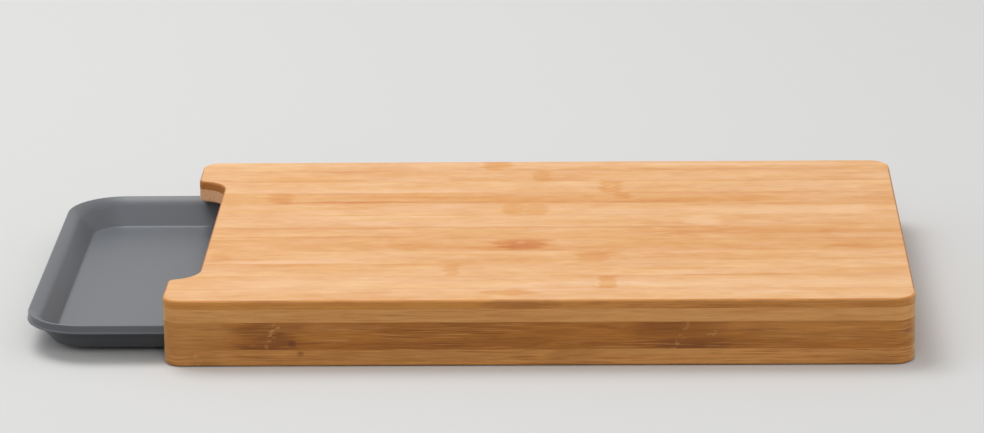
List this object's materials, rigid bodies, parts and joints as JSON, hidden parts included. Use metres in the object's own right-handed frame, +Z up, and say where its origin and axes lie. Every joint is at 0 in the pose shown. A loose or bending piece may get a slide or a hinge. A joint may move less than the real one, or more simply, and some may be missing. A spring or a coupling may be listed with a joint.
{
  "type": "cutting board with pull-out tray",
  "caption": "Laminated bamboo cutting board with a scrape-off cut-out in one end and a shallow grey plastic tray that slides out from under it.",
  "frame": {"origin": "on the surface that the board stands on, under the middle of the whole part with the tray drawn out as pictured", "axes": "+X along the board towards its closed end, away from the tray; +Y across the board towards the back long side; +Z up"},
  "size_m": [0.477, 0.264, 0.037],
  "materials": {
    "bamboo_face": "oiled satin, light bamboo strips",
    "bamboo_core": "oiled satin, mid-brown bamboo",
    "bamboo_rail": "oiled satin, darker bamboo",
    "tray_plastic": "smooth satin grey"
  },
  "bodies": {
    "board": {"face_strip_01": "bamboo_face", "face_strip_02": "bamboo_face", "face_strip_03": "bamboo_face", "face_strip_04": "bamboo_face", "face_strip_05": "bamboo_face", "face_strip_06": "bamboo_face", "face_strip_07": "bamboo_face", "face_strip_08": "bamboo_face", "face_strip_09": "bamboo_face", "face_strip_10": "bamboo_face", "face_strip_11": "bamboo_face", "face_strip_12": "bamboo_face", "core_strip_01": "bamboo_core", "core_strip_02": "bamboo_core", "core_strip_03": "bamboo_core", "core_strip_04": "bamboo_core", "core_strip_05": "bamboo_core", "core_strip_06": "bamboo_core", "core_strip_07": "bamboo_core", "core_strip_08": "bamboo_core", "core_strip_09": "bamboo_core", "core_strip_10": "bamboo_core", "core_strip_11": "bamboo_core", "core_strip_12": "bamboo_core", "core_strip_13": "bamboo_core", "front_rail_upper": "bamboo_rail", "front_rail_lower": "bamboo_core", "back_rail_upper": "bamboo_rail", "back_rail_lower": "bamboo_core", "end_rail_upper": "bamboo_rail", "end_rail_lower": "bamboo_core"},
    "tray": {"tray": "tray_plastic"}
  },
  "joints": [
    {"name": "tray_slide", "type": "slide", "parent": "board", "child": "tray", "axis": [1, 0, 0], "range_m": [-0.302, 0.077]}
  ]
}
